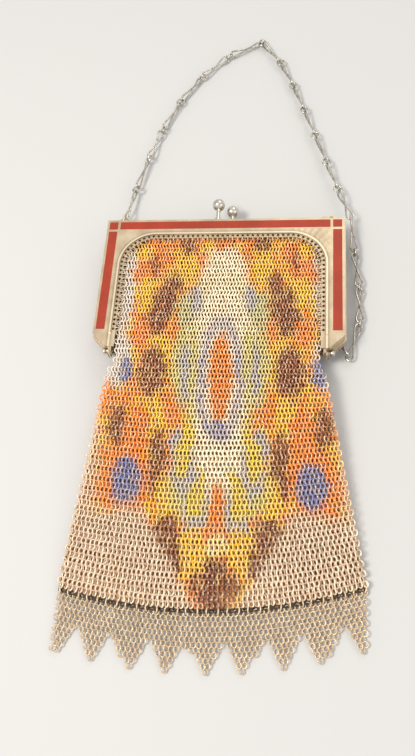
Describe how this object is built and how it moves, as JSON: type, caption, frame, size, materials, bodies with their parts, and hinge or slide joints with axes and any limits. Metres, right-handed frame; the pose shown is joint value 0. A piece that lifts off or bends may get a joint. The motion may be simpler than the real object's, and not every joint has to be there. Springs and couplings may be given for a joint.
{
  "type": "mesh handbag",
  "caption": "Ring-mesh evening bag with a hinged enamelled metal frame, ball clasp, pointed mesh fringe and link chain handle, lying on its back.",
  "frame": {"origin": "on the flat back of the frame's top bar, midway across, in the plain strip below the enamel band", "axes": "+X across the bag to the right as seen from its front, +Y towards the chain handle, +Z out of the front"},
  "size_m": [0.1262, 0.3309, 0.0143],
  "materials": {
    "frame_metal": "satin, worn plating",
    "red_enamel": "semi-gloss enamel",
    "ring_mesh": "satin rings with worn painted colours",
    "chain_metal": "worn plating",
    "clasp_metal": "polished"
  },
  "bodies": {
    "back": {"back_frame": "frame_metal", "back_enamel": "red_enamel", "left_hinge_pin": "frame_metal", "right_hinge_pin": "frame_metal", "back_knob": "clasp_metal", "left_lug": "frame_metal", "right_lug": "frame_metal", "right_end_ring": "chain_metal", "front_mesh": "ring_mesh", "back_mesh": "ring_mesh", "left_side_seam": "ring_mesh", "right_side_seam": "ring_mesh", "bottom_seam": "ring_mesh", "mesh_fringe": "ring_mesh", "chain_link_15": "chain_metal", "chain_link_16": "chain_metal", "chain_link_17": "chain_metal", "chain_link_18": "chain_metal", "chain_link_19": "chain_metal", "chain_link_20": "chain_metal", "chain_link_21": "chain_metal", "chain_link_22": "chain_metal"},
    "front": {"front_frame": "frame_metal", "front_enamel": "red_enamel", "front_knob": "clasp_metal"},
    "handle": {"left_end_ring": "chain_metal", "chain_link_01": "chain_metal", "chain_link_02": "chain_metal", "chain_link_03": "chain_metal", "chain_link_04": "chain_metal", "chain_link_05": "chain_metal", "chain_link_06": "chain_metal", "chain_link_07": "chain_metal", "chain_link_08": "chain_metal", "chain_link_09": "chain_metal", "chain_link_10": "chain_metal", "chain_link_11": "chain_metal", "chain_link_12": "chain_metal", "chain_link_13": "chain_metal", "chain_link_14": "chain_metal"}
  },
  "joints": [
    {"name": "frame_opening", "type": "hinge", "parent": "back", "child": "front", "pos_m": [0, -0.06215, 0.0045], "axis": [1, 0, 0], "range_deg": [0, 95]},
    {"name": "chain_swing", "type": "hinge", "parent": "back", "child": "handle", "pos_m": [0, 0.01131, 0.0011], "axis": [1, 0, 0], "range_deg": [0, 95]}
  ]
}
